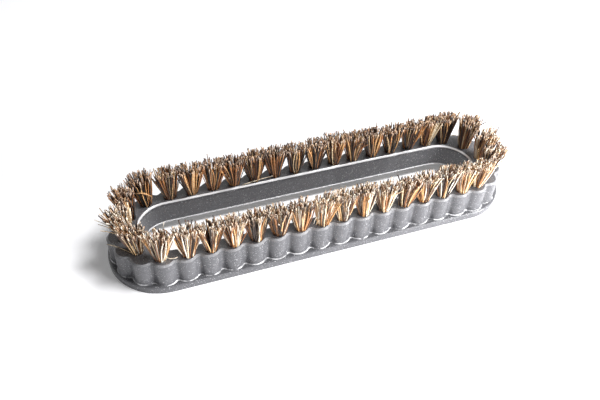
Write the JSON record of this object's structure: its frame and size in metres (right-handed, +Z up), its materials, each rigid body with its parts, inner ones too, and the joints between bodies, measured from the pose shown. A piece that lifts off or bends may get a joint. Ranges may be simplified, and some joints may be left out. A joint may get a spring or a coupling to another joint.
{
  "type": "oblong ring brush",
  "caption": "Oblong ring brush: a moulded grey base with a scalloped wall, an open middle and a flat base plate, set all round with upright tufts of mixed natural fibre.",
  "frame": {"origin": "centre of the underside of the base plate, in the plane it rests on", "axes": "+X along the length of the brush, +Y across it, +Z up towards the fibre tips"},
  "size_m": [0.154, 0.0388, 0.024],
  "materials": {
    "body_plastic": "satin, fine speckled moulded grain",
    "fibre": "stiff mixed plant fibre, straw to dark brown, with cut ends",
    "anchor_wire": "drawn flat wire"
  },
  "bodies": {
    "root": {"brush_body": "body_plastic", "tuft_anchors": "anchor_wire", "tuft_back_01": "fibre", "tuft_back_02": "fibre", "tuft_back_03": "fibre", "tuft_back_04": "fibre", "tuft_back_05": "fibre", "tuft_back_06": "fibre", "tuft_back_07": "fibre", "tuft_back_08": "fibre", "tuft_back_09": "fibre", "tuft_back_10": "fibre", "tuft_back_11": "fibre", "tuft_back_12": "fibre", "tuft_back_13": "fibre", "tuft_back_14": "fibre", "tuft_front_01": "fibre", "tuft_front_02": "fibre", "tuft_front_03": "fibre", "tuft_front_04": "fibre", "tuft_front_05": "fibre", "tuft_front_06": "fibre", "tuft_front_07": "fibre", "tuft_front_08": "fibre", "tuft_front_09": "fibre", "tuft_front_10": "fibre", "tuft_front_11": "fibre", "tuft_front_12": "fibre", "tuft_front_13": "fibre", "tuft_front_14": "fibre", "tuft_left_1": "fibre", "tuft_left_2": "fibre", "tuft_left_3": "fibre", "tuft_left_4": "fibre", "tuft_left_5": "fibre", "tuft_right_1": "fibre", "tuft_right_2": "fibre", "tuft_right_3": "fibre", "tuft_right_4": "fibre", "tuft_right_5": "fibre"}
  },
  "joints": []
}
